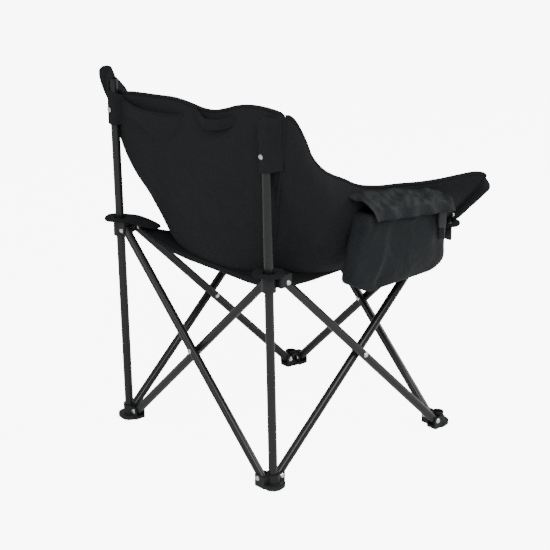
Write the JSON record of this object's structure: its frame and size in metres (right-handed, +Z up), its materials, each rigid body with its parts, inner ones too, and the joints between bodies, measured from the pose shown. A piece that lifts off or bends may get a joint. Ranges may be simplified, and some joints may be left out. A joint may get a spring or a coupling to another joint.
{
  "type": "folding camp chair",
  "caption": "Folding camp chair: crossed steel tubes with plastic feet and sliding hubs carry a padded fabric bucket sling with arms, a back pocket, a grab handle and a side cooler bag.",
  "frame": {"origin": "on the floor, at the middle of the chair in plan", "axes": "+Z up; the chair faces -Y, and the sitter's right hand is on the -X side"},
  "size_m": [0.79, 0.6161, 0.866],
  "materials": {
    "frame_tube": "semi-gloss black powder coat",
    "moulded_plastic": "fine-textured black moulding",
    "rivet": "bright nickel plate",
    "washer": "plain nylon",
    "sling_fabric": "charcoal black coated oxford weave",
    "seat_fabric": "charcoal black oxford weave",
    "bag_fabric": "charcoal black oxford weave with creases",
    "webbing": "black ribbed webbing"
  },
  "bodies": {
    "foot_rear_right": {"foot_rear_right": "moulded_plastic", "foot_rivets_rear_right": "rivet"},
    "hub_rear_right": {"hub_rear_right": "moulded_plastic", "hub_rivets_rear_right": "rivet", "corner_tab_rear_right": "webbing"},
    "foot_rear_left": {"foot_rear_left": "moulded_plastic", "foot_rivets_rear_left": "rivet"},
    "hub_rear_left": {"hub_rear_left": "moulded_plastic", "hub_rivets_rear_left": "rivet", "corner_tab_rear_left": "webbing"},
    "foot_front_left": {"foot_front_left": "moulded_plastic", "foot_rivets_front_left": "rivet"},
    "hub_front_left": {"hub_front_left": "moulded_plastic", "hub_rivets_front_left": "rivet", "corner_tab_front_left": "webbing"},
    "foot_front_right": {"foot_front_right": "moulded_plastic", "foot_rivets_front_right": "rivet"},
    "hub_front_right": {"hub_front_right": "moulded_plastic", "hub_rivets_front_right": "rivet", "corner_tab_front_right": "webbing"},
    "rear_tube_outer": {"rear_tube_outer": "frame_tube", "crossing_rivet_rear": "rivet", "washer_rear": "washer"},
    "rear_tube_inner": {"rear_tube_inner": "frame_tube"},
    "right_tube_outer": {"right_tube_outer": "frame_tube", "crossing_rivet_right": "rivet", "washer_right": "washer"},
    "right_tube_inner": {"right_tube_inner": "frame_tube"},
    "left_tube_outer": {"left_tube_outer": "frame_tube", "crossing_rivet_left": "rivet", "washer_left": "washer"},
    "left_tube_inner": {"left_tube_inner": "frame_tube"},
    "left_arm_tube": {"front_tube_left_arm": "frame_tube", "crossing_rivet_front": "rivet", "washer_front": "washer", "arm_pocket_left": "sling_fabric", "arm_rivet_left": "rivet"},
    "right_arm_tube": {"front_tube_right_arm": "frame_tube", "arm_pocket_right": "sling_fabric", "arm_rivet_right": "rivet"},
    "right_post": {"post_right": "frame_tube", "post_sleeve_right": "sling_fabric", "sleeve_rivet_right": "rivet", "back_panel": "sling_fabric", "side_panel_right": "sling_fabric", "cooler_bag": "bag_fabric", "back_pocket": "sling_fabric"},
    "left_post": {"post_left": "frame_tube", "post_sleeve_left": "sling_fabric", "sleeve_rivet_left": "rivet", "side_panel_left": "sling_fabric"},
    "grab_handle": {"grab_handle": "webbing"},
    "bag_lid": {"bag_lid": "bag_fabric"},
    "seat_rear": {"seat_rear": "seat_fabric"},
    "seat_front": {"seat_front": "seat_fabric"}
  },
  "joints": [
    {"name": "fold", "type": "hinge", "parent": "foot_rear_right", "child": "rear_tube_outer", "pos_m": [-0.24, 0.2765, 0.024], "axis": [0, -1, 0], "range_deg": [0, 37], "deforming": ["back_panel", "side_panel_right", "side_panel_left", "seat_rear", "seat_front", "cooler_bag", "bag_lid", "back_pocket", "grab_handle", "post_sleeve_right", "post_sleeve_left", "corner_tab_front_right", "corner_tab_front_left", "corner_tab_rear_right", "corner_tab_rear_left", "arm_pocket_right", "arm_pocket_left"]},
    {"name": "rear_crossing", "type": "hinge", "parent": "rear_tube_outer", "child": "rear_tube_inner", "pos_m": [0, 0.266, 0.256], "axis": [0, 1, 0], "range_deg": [0, 74]},
    {"name": "rear_left_foot_pin", "type": "hinge", "parent": "rear_tube_inner", "child": "foot_rear_left", "pos_m": [0.24, 0.2555, 0.024], "axis": [0, -1, 0], "range_deg": [0, 37]},
    {"name": "rear_right_hub_pin", "type": "hinge", "parent": "rear_tube_inner", "child": "hub_rear_right", "pos_m": [-0.24, 0.2555, 0.488], "axis": [0, -1, 0], "range_deg": [0, 37]},
    {"name": "rear_left_hub_pin", "type": "hinge", "parent": "rear_tube_outer", "child": "hub_rear_left", "pos_m": [0.24, 0.2765, 0.488], "axis": [0, 1, 0], "range_deg": [0, 37]},
    {"name": "rear_right_foot_pin", "type": "hinge", "parent": "foot_rear_right", "child": "right_tube_inner", "pos_m": [-0.2525, 0.24, 0.024], "axis": [-1, 0, 0], "range_deg": [0, 37]},
    {"name": "right_crossing", "type": "hinge", "parent": "right_tube_inner", "child": "right_tube_outer", "pos_m": [-0.263, 0, 0.256], "axis": [1, 0, 0], "range_deg": [0, 74]},
    {"name": "front_right_foot_pin", "type": "hinge", "parent": "right_tube_outer", "child": "foot_front_right", "pos_m": [-0.2735, -0.24, 0.024], "axis": [-1, 0, 0], "range_deg": [0, 37]},
    {"name": "front_right_hub_pin", "type": "hinge", "parent": "right_tube_inner", "child": "hub_front_right", "pos_m": [-0.2525, -0.24, 0.488], "axis": [1, 0, 0], "range_deg": [0, 37]},
    {"name": "front_right_arm_foot_pin", "type": "hinge", "parent": "foot_front_right", "child": "left_arm_tube", "pos_m": [-0.24, -0.2555, 0.024], "axis": [0, -1, 0], "range_deg": [0, 37]},
    {"name": "front_crossing", "type": "hinge", "parent": "left_arm_tube", "child": "right_arm_tube", "pos_m": [0, -0.266, 0.256], "axis": [0, 1, 0], "range_deg": [0, 74]},
    {"name": "rear_left_side_pin", "type": "hinge", "parent": "foot_rear_left", "child": "left_tube_outer", "pos_m": [0.2735, 0.24, 0.024], "axis": [-1, 0, 0], "range_deg": [0, 37]},
    {"name": "left_crossing", "type": "hinge", "parent": "left_tube_outer", "child": "left_tube_inner", "pos_m": [0.263, 0, 0.256], "axis": [1, 0, 0], "range_deg": [0, 74]},
    {"name": "front_left_hub_pin", "type": "hinge", "parent": "left_tube_outer", "child": "hub_front_left", "pos_m": [0.2735, -0.24, 0.488], "axis": [1, 0, 0], "range_deg": [0, 37]},
    {"name": "front_left_foot_pin", "type": "hinge", "parent": "left_tube_inner", "child": "foot_front_left", "pos_m": [0.2525, -0.24, 0.024], "axis": [-1, 0, 0], "range_deg": [0, 37]},
    {"name": "right_post_rock", "type": "hinge", "parent": "foot_rear_right", "child": "right_post", "pos_m": [-0.263, 0.26323, 0.009], "axis": [1, 0, 0], "range_deg": [0, 0.4311]},
    {"name": "left_post_rock", "type": "hinge", "parent": "foot_rear_left", "child": "left_post", "pos_m": [0.263, 0.26323, 0.009], "axis": [1, 0, 0], "range_deg": [0, 0.4311]},
    {"name": "seat_rear_fold", "type": "hinge", "parent": "hub_rear_right", "child": "seat_rear", "pos_m": [-0.263, 0.19, 0.47], "axis": [1, 0, 0], "range_deg": [0, 86]},
    {"name": "seat_front_fold", "type": "hinge", "parent": "hub_front_right", "child": "seat_front", "pos_m": [-0.263, -0.19, 0.47], "axis": [-1, 0, 0], "range_deg": [0, 86]},
    {"name": "bag_lid_hinge", "type": "hinge", "parent": "right_post", "child": "bag_lid", "pos_m": [-0.306, -0.025, 0.6146], "axis": [0.0842, 0.9946, 0.0612], "range_deg": [0, 110]},
    {"name": "handle_swing", "type": "hinge", "parent": "right_post", "child": "grab_handle", "pos_m": [-0.097, 0.27, 0.816], "axis": [1, 0, 0], "range_deg": [0, 35]}
  ],
  "couplings": [
    {"joint": "rear_crossing", "follows": "fold", "ratio": 2},
    {"joint": "rear_left_foot_pin", "follows": "fold", "ratio": 1},
    {"joint": "rear_right_hub_pin", "follows": "fold", "ratio": 1},
    {"joint": "rear_left_hub_pin", "follows": "fold", "ratio": 1},
    {"joint": "rear_right_foot_pin", "follows": "fold", "ratio": 1},
    {"joint": "right_crossing", "follows": "fold", "ratio": 2},
    {"joint": "front_right_foot_pin", "follows": "fold", "ratio": 1},
    {"joint": "front_right_hub_pin", "follows": "fold", "ratio": 1},
    {"joint": "front_right_arm_foot_pin", "follows": "fold", "ratio": 1},
    {"joint": "front_crossing", "follows": "fold", "ratio": 2},
    {"joint": "rear_left_side_pin", "follows": "fold", "ratio": 1},
    {"joint": "left_crossing", "follows": "fold", "ratio": 2},
    {"joint": "front_left_hub_pin", "follows": "fold", "ratio": 1},
    {"joint": "front_left_foot_pin", "follows": "fold", "ratio": 1},
    {"joint": "right_post_rock", "follows": "fold", "ratio": 0.011652},
    {"joint": "left_post_rock", "follows": "fold", "ratio": 0.011652},
    {"joint": "seat_rear_fold", "follows": "fold", "ratio": 2.3243},
    {"joint": "seat_front_fold", "follows": "fold", "ratio": 2.3243}
  ]
}
